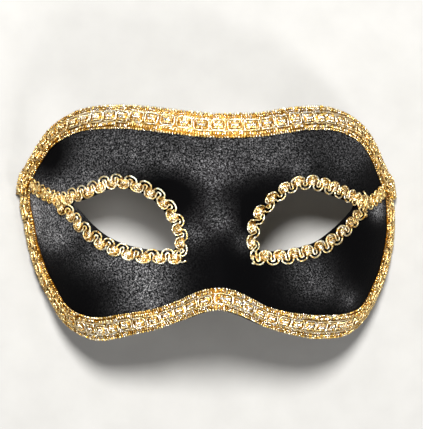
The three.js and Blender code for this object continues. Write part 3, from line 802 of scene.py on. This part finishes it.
class Weave(Nodes):
    """A Geometry Nodes tree with named sizes, written in the same plain calls."""

    def __init__(self, name, sizes):
        super().__init__(bpy.data.node_groups.new(name, "GeometryNodeTree"))
        face = self.tree.interface
        face.new_socket("Geometry", in_out="INPUT", socket_type="NodeSocketGeometry")
        face.new_socket("Geometry", in_out="OUTPUT", socket_type="NodeSocketGeometry")
        for label, value in sizes.items():
            kind = "NodeSocketInt" if isinstance(value, int) else "NodeSocketFloat"
            face.new_socket(label, in_out="INPUT", socket_type=kind).default_value = value
        self.entry = self.tree.nodes.new("NodeGroupInput")

    def size(self, label):
        return self.entry.outputs[label]

    def vector(self, x=0.0, y=0.0, z=0.0):
        return self.add("ShaderNodeCombineXYZ", {"X": x, "Y": y, "Z": z})

    def random(self, low, high, seed, kind="FLOAT"):
        return self.add("FunctionNodeRandomValue", {"Min": low, "Max": high, "Seed": seed},
                        data_type=kind)

    def join(self, *parts):
        node = self.add("GeometryNodeJoinGeometry")
        for part in parts[::-1]:
            self.feed(node.inputs["Geometry"], part)
        return node

    def moved(self, part, place=(0, 0, 0), turn=(0, 0, 0), scale=(1, 1, 1)):
        return self.add("GeometryNodeTransform", {
            "Geometry": part, "Translation": place, "Rotation": turn, "Scale": scale})

    def thread(self, curve, radius, sides, twist):
        """A twisted two-ply thread along a curve: an oval, swept, that turns once in each twist."""
        run = self.add("GeometryNodeSplineParameter").outputs["Length"]
        turned = self.add("GeometryNodeSetCurveTilt", {
            "Curve": curve, "Tilt": self.math("MULTIPLY", run, 2 * math.pi / twist)})
        ring = self.add("GeometryNodeCurvePrimitiveCircle", {"Resolution": sides, "Radius": radius},
                        mode="RADIUS")
        oval = self.moved(ring, scale=(1, TWO_PLY_FLATNESS, 1))
        return self.add("GeometryNodeCurveToMesh", {
            "Curve": turned, "Profile Curve": oval, "Fill Caps": True})

    def stitch(self, length, radius, turn=(0, 0, 0)):
        """One short stitch that dips at both ends, along Y."""
        return self.moved(self.ball(6, 5), turn=turn, scale=(radius, length / 2, radius * 0.9))

    def set_tone(self, part, tone, domain="POINT"):
        return self.add("GeometryNodeStoreNamedAttribute", {
            "Geometry": part, "Name": "tone", "Value": tone}, data_type="FLOAT", domain=domain)

    def toned(self, copies, seed, tones):
        """Copies with a tone each, drawn between the two tones."""
        return self.set_tone(copies, self.random(*tones, seed), "INSTANCE")

    def points_in_line(self, count, start, step):
        return self.add("GeometryNodeMeshLine", {
            "Count": count, "Start Location": start, "Offset": step}, mode="OFFSET")

    def along_curve(self, curve, step):
        return self.add("GeometryNodeResampleCurve", {"Curve": curve, "Length": step}, mode="LENGTH")

    def ball(self, segments, rings):
        values = {"Segments": segments, "Rings": rings, "Radius": 1.0}
        return self.add("GeometryNodeMeshUVSphere", values)

    def copies_along(self, shape, count, start, step, seed, lean, uneven):
        """Copies of a shape in a row, each a little turned and scaled."""
        line = self.points_in_line(count, start, step)
        turn = self.random(tuple(-a for a in lean), lean, seed, "FLOAT_VECTOR")
        size = self.random((1 - uneven,) * 3, (1 + uneven,) * 3, seed + 1, "FLOAT_VECTOR")
        return self.add("GeometryNodeInstanceOnPoints", {
            "Points": line, "Instance": shape, "Rotation": turn, "Scale": size})

    def row(self, shape, count, start, step, seed, tones, lean, uneven):
        """Such copies with a tone each."""
        copies = self.copies_along(shape, count, start, step, seed, lean, uneven)
        return self.toned(copies, seed + 2, tones)

    def uneven(self, part, amounts, seed):
        """Moves points by smooth noise, so that no two links are the same."""
        place = self.add("GeometryNodeInputPosition")
        for size, amount in amounts:
            noise = self.add("ShaderNodeTexNoise", {
                "Vector": place, "W": seed, "Scale": size, "Detail": 1.0}, noise_dimensions="4D")
            centred = self.add("ShaderNodeVectorMath", {0: noise.outputs["Color"], 1: (0.5, 0.5, 0.5)},
                               operation="SUBTRACT")
            shift = self.add("ShaderNodeVectorMath", {0: centred, 1: amount}, operation="MULTIPLY")
            part = self.add("GeometryNodeSetPosition", {"Geometry": part, "Offset": shift})
        return part

    def end(self, part, finish):
        real = self.add("GeometryNodeRealizeInstances", {"Geometry": part})
        done = self.add("GeometryNodeSetMaterial", {"Geometry": real, "Material": finish})
        leave = self.tree.nodes.new("NodeGroupOutput")
        self.tree.links.new(done.outputs[0], leave.inputs[0])


def woven(weave, host_mesh, sizes):
    """The plain mesh that a tree makes of a host mesh, with the tree's sizes set by identifier."""
    host = bpy.data.objects.new("loom", host_mesh)
    bpy.context.scene.collection.objects.link(host)
    modifier = host.modifiers.new("weave", "NODES")
    modifier.node_group = weave.tree
    for item in weave.tree.interface.items_tree:
        if item.in_out == "INPUT" and item.name in sizes:
            modifier[item.identifier] = sizes[item.name]
    graph = bpy.context.evaluated_depsgraph_get()
    mesh = bpy.data.meshes.new_from_object(host.evaluated_get(graph), depsgraph=graph)
    host.modifiers.clear()
    bpy.data.objects.remove(host)
    return mesh

# %% [markdown]
# ## Laying a strip on the form
# A strip of braid is glued along a line. Across the strip we walk over the form at right
# angles to that line, and over the velvet we go straight up. So a woven point has three
# numbers: how far along, how far across and how high. A grid of places is worked out once
# for each strip, and each point finds its own place in the grid. The strip bends in its
# own plane as the real one does: it bunches on the inside of a curve and spreads outside.

# %% The laying grid
LAY_STEP = 0.5
# girth in mm where the painted shade of the sides begins and where it is full
SIDE_SHADE_FROM = (50.0, 85.0)


class LaidStrip:
    """The grid of places for one strip, along a line and across it from one reach to another."""

    def __init__(self, line, inward, across, spread=None):
        places, self.length = spaced(line, step=LAY_STEP, on_form=True)
        points = face_point(places[:, 0], places[:, 1])
        run = unit(np.gradient(points, axis=0))
        heading = unit(np.cross(face_normal(places[:, 0], places[:, 1]), run)) * inward
        shift, width, thick = spread(places[:, 0]) if spread else (0.0, 1.0, 1.0)
        self.across = np.arange(across[0], across[1] + LAY_STEP, LAY_STEP)
        chart = np.stack([walk(places, heading, reach * width + shift)[0] for reach in self.across], 1)
        self.points = deep(chart, 0)
        self.normals = face_normal(chart[..., 0], chart[..., 1])
        self.thick = np.broadcast_to(thick, len(places))
        self.inward = inward

    def lay(self, woven_points):
        """Points (along, across, up) in mm, laid on the form."""
        along = np.clip(woven_points[:, 0] / self.length, 0, 1) * (len(self.points) - 1)
        across = (woven_points[:, 1] - self.across[0]) / LAY_STEP
        i = np.clip(along.astype(int), 0, self.points.shape[0] - 2)
        k = np.clip(across.astype(int), 0, self.points.shape[1] - 2)
        u, v = (along - i)[:, None], (across - k)[:, None]

        def between(grid):
            return ((grid[i, k] * (1 - u) + grid[i + 1, k] * u) * (1 - v)
                    + (grid[i, k + 1] * (1 - u) + grid[i + 1, k + 1] * u) * v)

        thick = np.interp(along, np.arange(len(self.thick)), self.thick)[:, None]
        return between(self.points) + unit(between(self.normals)) * woven_points[:, 2:3] * thick


def laid_piece(name, mesh, strip, lift=None):
    """Lays a woven mesh on the mask, lifted or pressed at its ends where the strips lap."""
    co = np.empty(len(mesh.vertices) * 3)
    mesh.vertices.foreach_get("co", co)
    flat = co.reshape(-1, 3)
    height = flat[:, 2].copy()
    if lift:
        flat = lift(flat, strip)
    points = strip.lay(flat)
    points[:, 2] = np.maximum(points[:, 2], FOOT_LEVEL)
    mesh.vertices.foreach_set("co", ((points + FORM_TO_FRAME) * MM).astype(np.float32).ravel())
    if strip.inward < 0:
        mesh.flip_normals()
    mesh.name = name
    piece = bpy.data.objects.new(name, mesh)
    bpy.context.scene.collection.objects.link(piece)
    set_point_attribute(piece, "height", height)
    # Painted shade on the sides of the mask, growing with girth.
    set_point_attribute(piece, "painted_side_shade", smooth_step(*SIDE_SHADE_FROM, np.abs(chart_of(points)[0])))
    mesh.shade_smooth()
    mesh.update()
    return piece

# %% [markdown]
# ## The border braid
# The broad braid has a chain of links down its middle, each a rounded frame of thin cord
# with short stitches over a raised heart: the stitches are toned bright as painted highlight,
# the heart dark as painted shade. Towards the velvet runs a row of ribs, towards the edge a
# band of slanted stitches, and both edges are tiny knots. Dark gaps show between the links,
# where the tape under it all is toned dark as painted shade. The sizes below were taken from
# the picture against the mask's width: the braid is 10.6 mm wide and a link is 7.1 mm long.

# %% The tree that weaves the border braid
BORDER_WIDTH = 10.6
LINK_PITCH = 7.1
LINK_MIDDLE = 5.05
KNOTS_PER_LINK = 6
# radius of a thread, sides of its section, mm in which it turns once
LINK_CORD, LONG_CORD = (0.33, 6, 1.7), (0.30, 5, 1.6)
LINK_TONE, LONG_TONE = 0.58, 0.6
# a link's frame of cord: length, width, corner and height over the velvet
FRAME_LENGTH, FRAME_WIDTH, FRAME_CORNER, FRAME_UP = 6.3, 4.5, 1.35, 1.15
HEART_UP, HEART_SIZE = 0.5, (2.6, 1.8, 0.72)
# the tape under it all: width and thickness, and where its middle lies across and up
TAPE_SIZE, TAPE_MIDDLE = (9.9, 0.42), (5.2, 0.26)

# rows of stitches in a link, in mm: length and radius of a stitch, its turn, how many, the
# first one's place (along from the link's middle, across from the strip's outer edge, up),
# step along, seed, tones, how far each may lean and how uneven their sizes are
LINK_ROWS = [
    (1.15, 0.37, 0, 6, (-1.95, 3.85, 0.98), 0.78, 11, (0.0, 0.9), (0.12, 0.12, 0.2), 0.25),
    (1.15, 0.37, 0, 6, (-1.95, 6.25, 0.98), 0.78, 21, (0.0, 0.9), (0.12, 0.12, 0.2), 0.25),
    # stitches over the heart, toned up to near white: painted highlight
    (1.60, 0.42, 0, 5, (-1.4, 5.06, 1.42), 0.70, 31, (0.65, 1.4), (0.2, 0.2, 0.4), 0.35),
    (1.70, 0.34, 0, 7, (-3.04, 8.55, 0.76), 1.014, 41, (0.2, 1.15), (0.15, 0.15, 0.30), 0.28),
    (1.25, 0.30, 0.75, 7, (-3.04, 2.30, 0.80), 1.014, 51, (0.0, 1.0), (0.2, 0.2, 0.5), 0.25),
    (1.20, 0.30, -0.75, 7, (-2.84, 1.30, 0.82), 1.014, 61, (0.0, 1.0), (0.2, 0.2, 0.5), 0.25),
]
# rows of knots along both edges: length and radius, across, up, seed, tones
EDGE_KNOTS = [(1.25, 0.46, 0.35, 0.66, 81, (0.2, 0.85)), (1.10, 0.44, 9.95, 0.55, 91, (0.3, 1.0))]
# two plain threads along the strip: across, up
LONG_THREADS = [(2.95, 0.76), (7.45, 0.74)]
# how the whole strip waves: size of the noise, reach along, across and up
BORDER_WAVES = [(0.13, (0.5, 0.45, 0.1)), (0.75, (0.62, 0.62, 0.42))]


def border_link(w):
    """One link: its frame of cord, the heart in it and the rows of stitches round it."""
    frame_line = w.add("GeometryNodeCurvePrimitiveQuadrilateral", {
        "Width": FRAME_LENGTH, "Height": FRAME_WIDTH})
    rounded = w.add("GeometryNodeFilletCurve", {
        "Curve": frame_line, "Radius": FRAME_CORNER, "Count": 4}, mode="POLY")
    cord = w.thread(w.along_curve(rounded, 0.45), *LINK_CORD)
    cord = w.moved(cord, place=(0, LINK_MIDDLE, FRAME_UP))
    # The heart is toned darkest: painted shade under and between the bright stitches.
    heart = w.moved(w.ball(12, 8), place=(0, LINK_MIDDLE, HEART_UP), scale=HEART_SIZE)
    rows = [w.row(w.stitch(length, radius, (0, 0, turn)), count, start, (step, 0, 0), *rest)
            for length, radius, turn, count, start, step, *rest in LINK_ROWS]
    return w.join(w.set_tone(cord, LINK_TONE), w.set_tone(heart, 0.0), *rows)


def border_weave():
    w = Weave("border_weave", {"Links": 40, "Link Pitch": LINK_PITCH, "Seed": 3})
    links, pitch, seed = w.size("Links"), w.size("Link Pitch"), w.size("Seed")
    block = w.add("GeometryNodeGeometryToInstance", {"Geometry": border_link(w)})
    centre = w.math("MULTIPLY", pitch, 0.5)
    chain = w.copies_along(block, links, w.vector(centre), w.vector(pitch), 71, (0.0, 0.0, 0.05), 0.05)
    knot_step = w.math("DIVIDE", pitch, KNOTS_PER_LINK)
    knots = w.math("MULTIPLY", links, KNOTS_PER_LINK)
    first_knot = w.math("MULTIPLY", knot_step, 0.5)
    knot_rows = [w.row(w.stitch(length, radius), knots, w.vector(first_knot, across, up),
                       w.vector(knot_step), row_seed, tones, (0.2, 0.2, 0.3), 0.16)
                 for length, radius, across, up, row_seed, tones in EDGE_KNOTS]
    length = w.math("MULTIPLY", links, pitch)
    ground = w.add("GeometryNodeMeshCube", {
        "Size": w.vector(length, *TAPE_SIZE), "Vertices X": w.math("MULTIPLY", links, 9.0),
        "Vertices Y": 12, "Vertices Z": 2})
    half_length = w.math("MULTIPLY", length, 0.5)
    # The tape is toned darkest: painted shade in the gaps between the links and stitches.
    tape = w.set_tone(w.moved(ground, place=w.vector(half_length, *TAPE_MIDDLE)), 0.0)
    threads = []
    for across, up in LONG_THREADS:
        run = w.add("GeometryNodeCurvePrimitiveLine", {
            "Start": w.vector(0.3, across, up),
            "End": w.vector(w.math("SUBTRACT", length, 0.3), across, up)})
        threads.append(w.set_tone(w.thread(w.along_curve(run, 0.5), *LONG_CORD), LONG_TONE))
    woven_parts = w.add("GeometryNodeRealizeInstances", {
        "Geometry": w.join(tape, chain, *knot_rows, *threads)})
    w.end(w.uneven(woven_parts, BORDER_WAVES, seed), BRAID_GOLD)
    return w

# %% Where the two strips of the border run and meet
TEMPLES_FROM, TEMPLE_COUNT = 60, 1500
LAP_TOP_Y = {-1: 21.0, 1: 20.5}
LAP_LENGTH, LAP_RAMP, LAP_LIFT, LAP_PRESSED = 9.0, 6.0, 1.0, 0.5
BESIDE_NOSE = {"share": 0.15, "girth": 19.0, "over": 15.0}
# for the upper strip and the lower: girth, mm further outward, shares of full width and thickness
BORDER_SPREAD = {
    True: [(-109, 0, 0.93, 1.4), (-96, 0, 0.93, 1.3), (-70, 0.5, 1.07, 1), (70, 0.5, 1.07, 1),
           (95, 0, 1, 1.2)],
    False: [(-106, 0.3, 0.95, 1.75), (-98, 0.4, 0.96, 1.7), (-91, 0.7, 1.04, 1.2),
            (-56, 0.7, 1.04, 1), (-45, 0, 1, 1), (35, 0, 1, 1), (50, 0, 1.07, 1),
            (72, 0, 1.07, 1), (90, 0, 1, 1.2), (104, 0, 1, 1.3)],
}


def edge_part(side, y, upper):
    """One half's edge above or below a height at the temple, from the middle of the mask."""
    line = spaced(EDGE_LINES[side], count=TEMPLE_COUNT)[0]
    cut = np.argmax((np.abs(line[:, 0]) > TEMPLES_FROM) & (line[:, 1] < y))
    return line[:cut] if upper else line[cut:][::-1]


def border_line(upper):
    drop = LAP_LENGTH if upper else 0
    left = edge_part(-1, LAP_TOP_Y[-1] - drop, upper)
    right = edge_part(1, LAP_TOP_Y[1] - drop, upper)
    return np.vstack([left[1:][::-1], right])


def border_spread(upper):
    """How far outward the strip lies, how wide it is pulled and how thick it is, along its line."""
    rows = np.array(BORDER_SPREAD[upper]).T

    def spread(girth):
        outward, width, thick = (np.interp(girth, rows[0], row) for row in rows[1:])
        if not upper:
            width = width * (1 - BESIDE_NOSE["share"] * bell(
                (np.abs(girth) - BESIDE_NOSE["girth"]) / BESIDE_NOSE["over"]))
        return -outward, width, thick

    return spread


def near_end(along, length):
    """1 where a strip laps the other at either end, 0 over the rest."""
    return 1 - smooth_step(LAP_LENGTH, LAP_LENGTH + LAP_RAMP, np.minimum(along, length - along))


def lapped_over(flat, strip):
    flat = flat.copy()
    flat[:, 2] += LAP_LIFT * near_end(flat[:, 0], strip.length)
    return flat


def pressed_under(flat, strip):
    flat = flat.copy()
    flat[:, 2] *= 1 - (1 - LAP_PRESSED) * near_end(flat[:, 0], strip.length)
    return flat

# %% The two strips of border braid
empty_loom = bpy.data.meshes.new("empty_loom")
border = border_weave()
for name, upper in (("border_braid_top", True), ("border_braid_bottom", False)):
    strip = LaidStrip(border_line(upper), -1 if upper else 1, (-1.0, BORDER_WIDTH + 1),
                      border_spread(upper))
    links = round(strip.length / LINK_PITCH)
    mesh = woven(border, empty_loom, {"Links": links, "Link Pitch": strip.length / links})
    piece = laid_piece(name, mesh, strip, lapped_over if upper else pressed_under)
    finish_piece(piece, "gold_braid", "border_braid_upper" if upper else "border_braid_lower")
    print(name, "is", round(strip.length, 1), "mm long, with", links, "links")

# %% [markdown]
# ## The gimp round the eyes
# The narrow trimming is two cords that meander side by side. On one side the outer cord
# bows round the inner one and leaves a small dark crescent between them. On the other side
# they change places, and gold strip is wound over the turn and fills it as a little leaf.
# The meander is drawn as half circles and straight legs, and a tree sweeps a twisted thread
# along it and sets the gold strip over each leaf.

# %% The meander of the two cords
CORD_RADIUS, CORD_HEIGHT = 0.43, 0.46
GIMP_PITCH = 6.4
TURN_POINTS = 12
LOOSE_SHARE = 0.38
LEAF_MARGIN = 1.2
# round an open turn and round a leaf: middle of the half ellipse across the strip, its reach
# along the strip and its reach across
CORD_TURNS = {
    "outer": ((1.25, 2.48, 1.87), (-0.35, 0.78, 0.80)),
    "inner": ((0.80, 0.82, 0.80), (-1.15, 2.70, 1.97)),
}


def leaf_places(turns, lean):
    """Leaves stand halfway between open turns, or a little further on where the strip is bunched."""
    turns = np.array(turns, float)
    middle = (turns[:-1] + turns[1:]) / 2
    return middle + lean[2] * smooth_step(lean[0], lean[1], middle)


def cord_line(turns, lean, shape):
    """Half ellipses over the open turns and under the leaves, joined by straight legs."""
    (open_at, open_long, open_wide), (leaf_at, leaf_long, leaf_wide) = shape
    stretch = np.diff(turns) / GIMP_PITCH
    bend = np.linspace(math.pi, 0, TURN_POINTS)
    line = []
    for i, leaf in enumerate(leaf_places(turns, lean)):
        before = stretch[max(i - 1, 0)]
        line += [(turns[i] + open_long * (before if a > math.pi / 2 else stretch[i]) * math.cos(a),
                  open_at + open_wide * math.sin(a)) for a in bend]
        line += [(leaf + leaf_long * stretch[i] * math.cos(a), leaf_at - leaf_wide * math.sin(a))
                 for a in bend]
    return np.array(line)

# %% The tree that winds the gimp
def gimp_weave():
    w = Weave("gimp_weave", {"Cord Radius": CORD_RADIUS, "Seed": 20})
    host, seed = w.entry.outputs["Geometry"], w.size("Seed")
    fine = w.add("GeometryNodeInputNamedAttribute", {"Name": "fine"}, data_type="FLOAT")
    chains = w.add("GeometryNodeSetCurveRadius", {
        "Curve": w.add("GeometryNodeMeshToCurve", {"Mesh": host}), "Radius": fine})
    cords = w.set_tone(w.thread(w.along_curve(chains, 0.32), w.size("Cord Radius"), 7, 2.0), 0.70)

    def tangle(shape, points, place, seed_step, tones, turn=(0.3, 0.3, 3.1)):
        """Stitches on some points, turned at random, with a tone each."""
        copies = w.add("GeometryNodeInstanceOnPoints", {
            "Points": w.moved(points, place=place), "Instance": shape,
            "Rotation": w.random(tuple(-a for a in turn), turn, seed_step, "FLOAT_VECTOR"),
            "Scale": w.random((0.8, 0.6, 0.8), (1.2, 1.3, 1.3), seed_step + 1, "FLOAT_VECTOR")})
        return w.toned(copies, seed_step + 2, tones)

    def circle(count, radius):
        return w.add("GeometryNodeMeshCircle", {"Vertices": count, "Radius": radius})

    ball = w.ball(12, 7)
    # The core and the slit under the wisps are toned dark: painted shade between the wisps.
    core = w.moved(ball, place=(0, -1.1, 0.32), scale=(2.4, 1.9, 0.34))
    slit = w.moved(ball, place=(0, 0.1, 0.26), scale=(3.5, 0.95, 0.24))
    wisp, wrap = w.stitch(1.7, 0.25), w.stitch(2.3, 0.36, (0, 0, math.pi / 2))
    leaf = w.join(
        w.set_tone(core, 0.0), w.set_tone(slit, 0.15),
        tangle(wisp, circle(11, 1.45), (0, -1.25, 0.60), 11, (0.1, 0.95)),
        tangle(wisp, circle(7, 0.80), (0, -1.15, 0.80), 21, (0.1, 1.1)),
        tangle(wrap, w.points_in_line(3, (0, -0.75, 0), (0, 0.65, 0.06)), (0, 0, 0.80), 31, (0.1, 1.1),
               (0.2, 0.2, 0.5)),
        tangle(wisp, w.points_in_line(4, (-1.0, 0, 0), (0.66, 0, 0)), (0, 1.0, 0.62), 41, (0.1, 0.9)),
    )
    block = w.add("GeometryNodeGeometryToInstance", {"Geometry": leaf})
    wide = w.add("GeometryNodeInputNamedAttribute", {"Name": "leaf"}, data_type="FLOAT")
    turn = w.random((-0.06, -0.06, -0.3), (0.06, 0.06, 0.3), seed, "FLOAT_VECTOR")
    size = w.random((0.94, 0.94, 0.85), (1.06, 1.06, 1.15), 6, "FLOAT_VECTOR")
    fitted = w.add("ShaderNodeVectorMath", {0: size, 1: w.vector(wide, 1.0, 1.0)}, operation="MULTIPLY")
    leaves = w.add("GeometryNodeInstanceOnPoints", {
        "Points": host, "Instance": block, "Rotation": turn, "Scale": fitted,
        "Selection": w.math("GREATER_THAN", wide, 0.1)})
    real = w.add("GeometryNodeRealizeInstances", {"Geometry": w.join(cords, leaves)})
    w.end(w.uneven(real, [(0.2, (0.6, 0.5, 0.1)), (0.9, (0.32, 0.32, 0.24))], seed), GIMP_GOLD)
    return w


def gimp_host(turns, lean, ends, loose=()):
    """The two cords and any loose ends as chains of points, and a single point for each leaf."""
    chains = []
    for shape in CORD_TURNS.values():
        line = cord_line(turns, lean, shape)
        chains.append(([(*spot, CORD_HEIGHT) for spot in line if ends[0] < spot[0] < ends[1]], 1.0))
    chains += [(chain, LOOSE_SHARE) for chain in loose]
    points, edges, fine, leaf = [], [], [], []
    for chain, share in chains:
        edges += [(len(points) + i, len(points) + i + 1) for i in range(len(chain) - 1)]
        points += chain
        fine += [share] * len(chain)
        leaf += [0] * len(chain)
    for place, stretch in zip(leaf_places(turns, lean), np.diff(turns) / GIMP_PITCH):
        if ends[0] + LEAF_MARGIN < place < ends[1] - LEAF_MARGIN:
            points.append((place, 0, 0))
            fine.append(1)
            leaf.append(stretch)
    mesh = bpy.data.meshes.new("gimp_loom")
    mesh.from_pydata(points, edges, [])
    for name, values in (("leaf", leaf), ("fine", fine)):
        mesh.attributes.new(name, "FLOAT", "POINT").data.foreach_set("value", values)
    return mesh, sum(1 for stretch in leaf if stretch)

# %% Lines of the four strips
# opens: which side of the strip its open turns look to, when it is followed from its first point
# turns: how far along each open turn stands
# lean: where the leaves begin to lean, where they lean fully, and how far
# ends: where the strip begins and stops
# line: girth and y along the middle of the strip
# loose: frayed ends of thread that stand out, as points along, across and up
# seed: which small unevenness the strip has
GIMP_STRIPS = {
    "eye_braid_left_upper": {
        "side": -1, "seed": 20, "lapped": False, "opens": 1, "ends": (0.3, 107.2), "lean": (0, 1, 0),
        "turns": [-0.6, 3.4, 7.4, 11.9, 16.1, 20, 23.4, 26.9, 32.7, 37.8, 44.1, 50.4, 56.1, 62.2, 69.1,
                  75.8, 83.3, 90.9, 97.4, 104, 110],
        "line": [
            (99.6, 16.6), (95.6, 15.8), (90.5, 14), (84.7, 12.1), (79, 10.4), (74, 9.9), (68.5, 11.6),
            (63, 12.8), (56.6, 14.9), (50.8, 17.1), (46.8, 17.9), (43, 18), (39.1, 17.4),
            (35.3, 16.3), (31.4, 14.9), (27.7, 12.9), (24, 10.3), (21.3, 7.3), (19.2, 4.3),
            (17.5, 1.1), (16.4, -2.1), (15.7, -5.6), (15.1, -9.4), (15.4, -11.2), (15.9, -13.1),
            (16.5, -15.3)]},
    "eye_braid_left_lower": {
        "side": -1, "seed": 20, "lapped": True, "opens": -1, "ends": (2.9, 71.0), "lean": (0, 1, 0),
        "turns": [2.6, 9.4, 16.5, 23.9, 30.9, 38.2, 45.4, 52.7, 59.3, 64.5, 70.2, 76],
        "line": [
            (12.9, -15), (17.5, -15.1), (24.4, -15), (31.8, -15), (39.2, -13.6), (43.1, -12.7),
            (47.1, -11.6), (51.1, -9.9), (55.2, -7.8), (59.5, -5.1), (63.9, -1.9), (68.1, 1.9),
            (71, 4.7), (74, 6.7), (76.9, 8.1)],
        "loose": [[(3.0, -2.1, 0.5), (1.7, -2.6, 0.8), (0.8, -1.8, 0.9), (0.1, -2.3, 0.5)]]},
    "eye_braid_right_upper": {
        "side": 1, "seed": 21, "lapped": False, "opens": 1, "ends": (0.3, 107.4), "lean": (70, 88, 1.7),
        "turns": [-0.4, 3.8, 8, 12.2, 16.8, 21.4, 25.1, 29.3, 34.2, 40.4, 46.2, 52.2, 59.3, 66.4, 72.8,
                  80.3, 87.9, 95, 101.5, 108.1],
        "line": [
            (99.1, 15), (94.9, 14.2), (91.1, 12.7), (87.1, 10.9), (81.5, 9.1), (76.4, 9.7), (70.1, 11.6),
            (62.9, 13.8), (53.5, 16.5), (48.6, 17.6), (44.6, 18.2), (40.6, 18.2), (36.7, 17.5),
            (32.8, 15.9), (28.8, 13.4), (24.9, 10.2), (21.4, 6.5), (18.6, 3), (16.9, -0.4),
            (15.9, -3.6), (15.7, -7), (15.7, -9.2), (16, -11.4), (17, -13.6), (18.3, -15.3)],
        "loose": [[(25.0, -4.6, 0.9), (23.4, -3.5, 1.5), (21.7, -2.2, 1.7), (21.4, 0.6, 1.4)]]},
    "eye_braid_right_lower": {
        "side": 1, "seed": 21, "lapped": True, "opens": -1, "ends": (3.0, 71.0), "lean": (0, 1, 0),
        "turns": [-1, 6, 13.3, 20.2, 27.3, 34.5, 41.7, 49.2, 56.6, 63, 67.2, 72.5, 77],
        "line": [
            (12.9, -15.2), (17, -15.2), (21.1, -15.3), (28.7, -15.1), (32.6, -14.8), (36.5, -14.1),
            (40.7, -13.3), (44.8, -12.4), (49.2, -11.1), (53.8, -9.4), (58.6, -6.7), (63.5, -3.7),
            (68.5, -0.3), (72.6, 3.2), (76.6, 7), (79.2, 9.8)],
        "loose": [[(4.4, 2.4, 0.6), (3.2, 2.9, 0.8), (2.3, 2.4, 0.5)],
                  [(69.0, 2.0, 0.6), (70.0, 3.2, 0.3), (69.6, 4.6, -0.6)]]},
}
GIMP_LAP, GIMP_RAMP, GIMP_LIFT = 5.0, 4.0, 1.5
GIMP_REACH = 4.5


def end_over(flat, strip):
    flat = flat.copy()
    to_end = strip.length - flat[:, 0]
    flat[:, 2] += GIMP_LIFT * (1 - smooth_step(GIMP_LAP, GIMP_LAP + GIMP_RAMP, to_end))
    return flat

# %% The four strips of gimp
gimp = gimp_weave()
for name, plan in GIMP_STRIPS.items():
    line = smooth_line([(girth * plan["side"], y) for girth, y in plan["line"]])
    strip = LaidStrip(line, plan["opens"], (-GIMP_REACH, GIMP_REACH))
    host, leaves = gimp_host(plan["turns"], plan["lean"], plan["ends"], plan.get("loose", ()))
    mesh = woven(gimp, host, {"Seed": plan["seed"]})
    piece = laid_piece(name.replace("braid", "gimp"), mesh, strip, end_over if plan["lapped"] else None)
    finish_piece(piece, "gold_gimp", name)
    print(name, "is", round(strip.length, 1), "mm long, with", leaves, "leaves")
